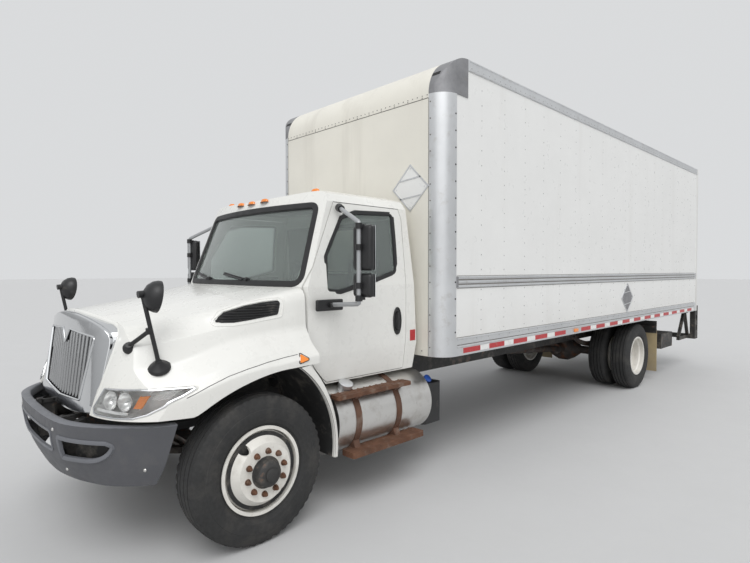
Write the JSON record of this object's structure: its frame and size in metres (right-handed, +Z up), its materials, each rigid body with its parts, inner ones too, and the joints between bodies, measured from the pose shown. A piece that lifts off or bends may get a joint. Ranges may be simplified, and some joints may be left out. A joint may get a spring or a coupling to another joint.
{
  "type": "box truck",
  "caption": "Conventional-cab box truck with tilting hood, long van body, saddle tank, mirrors and a tuck-under lift gate.",
  "frame": {"origin": "on the ground under the middle of the truck's length and width", "axes": "+Z up, the truck faces -Y, its driver's side is +X"},
  "size_m": [3.01, 11.014, 3.842],
  "materials": {
    "cab_white": "gloss, slightly dirty",
    "panel_white": "satin",
    "panel_cream": "satin",
    "frame_white": "satin, worn",
    "wheel_white": "satin, rust at the edges",
    "strap_brown": "rusty",
    "chassis_black": "dusty satin",
    "floor_steel": "matt",
    "engine_grey": "matt",
    "cast_steel": "matt",
    "exhaust_steel": "dull",
    "grille_chrome": "polished",
    "tank_aluminium": "brushed",
    "rail_aluminium": "satin",
    "cap_cast": "cast",
    "bumper_grey": "moulded grain",
    "mirror_black": "satin",
    "radiator_black": "matt",
    "tank_black": "satin",
    "dash_grey": "matt",
    "seat_fabric": "woven",
    "flap_tan": "matt",
    "tyre_rubber": "dusty",
    "window_glass": "clear, dark behind",
    "lamp_glass": "clear"
  },
  "bodies": {
    "chassis": {"battery_box": "chassis_black", "cab_glass": "window_glass", "cab_shell": "cab_white", "cab_steps": "tank_aluminium", "cargo_floor": "floor_steel", "cargo_front": "panel_cream", "cargo_roof": "rail_aluminium", "cargo_walls": "panel_white", "chassis_brackets": "chassis_black", "corner_posts": "rail_aluminium", "dashboard": "dash_grey", "def_tank": "tank_black", "engine": "engine_grey", "exhaust": "exhaust_steel", "frame_rails": "chassis_black", "front_axle": "cast_steel", "front_bumper": "bumper_grey", "fuel_tank": "tank_aluminium", "leaf_springs": "cast_steel", "liftgate_frame": "chassis_black", "mud_flaps": "flap_tan", "propeller_shaft": "cast_steel", "radiator": "radiator_black", "rear_axle": "cast_steel", "rear_bumper": "chassis_black", "rear_door": "panel_white", "rear_frame": "frame_white", "roof_caps": "cap_cast", "seat_bases": "dash_grey", "seat_cushions": "seat_fabric", "side_rails": "rail_aluminium", "splash_panels": "mirror_black", "steering_wheel": "dash_grey", "tank_straps": "strap_brown"},
    "hood_assembly": {"hood": "cab_white", "hood_frame": "mirror_black", "grille": "grille_chrome", "headlights": "lamp_glass", "hood_mirrors": "mirror_black"},
    "left_door": {"door_left": "cab_white", "door_glass_left": "window_glass", "door_mirror_left": "mirror_black"},
    "left_knuckle": {"knuckle_left": "cast_steel"},
    "left_front_wheel": {"tyre_front_left": "tyre_rubber", "wheel_front_left": "wheel_white"},
    "left_rear_wheels": {"tyres_rear_left": "tyre_rubber", "wheels_rear_left": "wheel_white"},
    "right_door": {"door_right": "cab_white", "door_glass_right": "window_glass", "door_mirror_right": "mirror_black"},
    "right_knuckle": {"knuckle_right": "cast_steel"},
    "right_front_wheel": {"tyre_front_right": "tyre_rubber", "wheel_front_right": "wheel_white"},
    "right_rear_wheels": {"tyres_rear_right": "tyre_rubber", "wheels_rear_right": "wheel_white"},
    "steering_link": {"tie_rod": "cast_steel"},
    "lift_arms": {"liftgate_arms": "chassis_black"},
    "lift_platform": {"liftgate_platform": "rail_aluminium"}
  },
  "joints": [
    {"name": "hood_tilt", "type": "hinge", "parent": "chassis", "child": "hood_assembly", "pos_m": [0, -5.395, 0.895], "axis": [1, 0, 0], "range_deg": [0, 60]},
    {"name": "left_door_swing", "type": "hinge", "parent": "chassis", "child": "left_door", "pos_m": [1.012, -3.909, 1.4], "axis": [0, 0, -1], "range_deg": [0, 65]},
    {"name": "right_door_swing", "type": "hinge", "parent": "chassis", "child": "right_door", "pos_m": [-1.012, -3.909, 1.4], "axis": [0, 0, 1], "range_deg": [0, 65]},
    {"name": "left_steer", "type": "hinge", "parent": "chassis", "child": "left_knuckle", "pos_m": [0.85, -4.395, 0.512], "axis": [0, 0, 1], "range_deg": [-32, 32]},
    {"name": "right_steer", "type": "hinge", "parent": "chassis", "child": "right_knuckle", "pos_m": [-0.85, -4.395, 0.512], "axis": [0, 0, 1], "range_deg": [-32, 32]},
    {"name": "steering_link_pivot", "type": "hinge", "parent": "left_knuckle", "child": "steering_link", "pos_m": [0.85, -4.205, 0.387], "axis": [0, 0, 1], "range_deg": [-32, 32]},
    {"name": "left_front_wheel_spin", "type": "hinge", "parent": "left_knuckle", "child": "left_front_wheel", "pos_m": [1.033, -4.395, 0.512], "axis": [1, 0, 0], "continuous": true},
    {"name": "left_rear_wheels_spin", "type": "hinge", "parent": "chassis", "child": "left_rear_wheels", "pos_m": [0.925, 2.44, 0.512], "axis": [1, 0, 0], "continuous": true},
    {"name": "right_front_wheel_spin", "type": "hinge", "parent": "right_knuckle", "child": "right_front_wheel", "pos_m": [-1.033, -4.395, 0.512], "axis": [1, 0, 0], "continuous": true},
    {"name": "right_rear_wheels_spin", "type": "hinge", "parent": "chassis", "child": "right_rear_wheels", "pos_m": [-0.925, 2.44, 0.512], "axis": [1, 0, 0], "continuous": true},
    {"name": "lift_lower", "type": "hinge", "parent": "chassis", "child": "lift_arms", "pos_m": [0, 4.155, 0.7], "axis": [-1, 0, 0], "range_deg": [0, 50]},
    {"name": "lift_level", "type": "hinge", "parent": "lift_arms", "child": "lift_platform", "pos_m": [0, 4.755, 0.69], "axis": [-1, 0, 0], "range_deg": [-50, 0]}
  ],
  "couplings": [
    {"joint": "right_steer", "follows": "left_steer", "ratio": 1},
    {"joint": "steering_link_pivot", "follows": "left_steer", "ratio": -1},
    {"joint": "lift_level", "follows": "lift_lower", "ratio": -1}
  ]
}
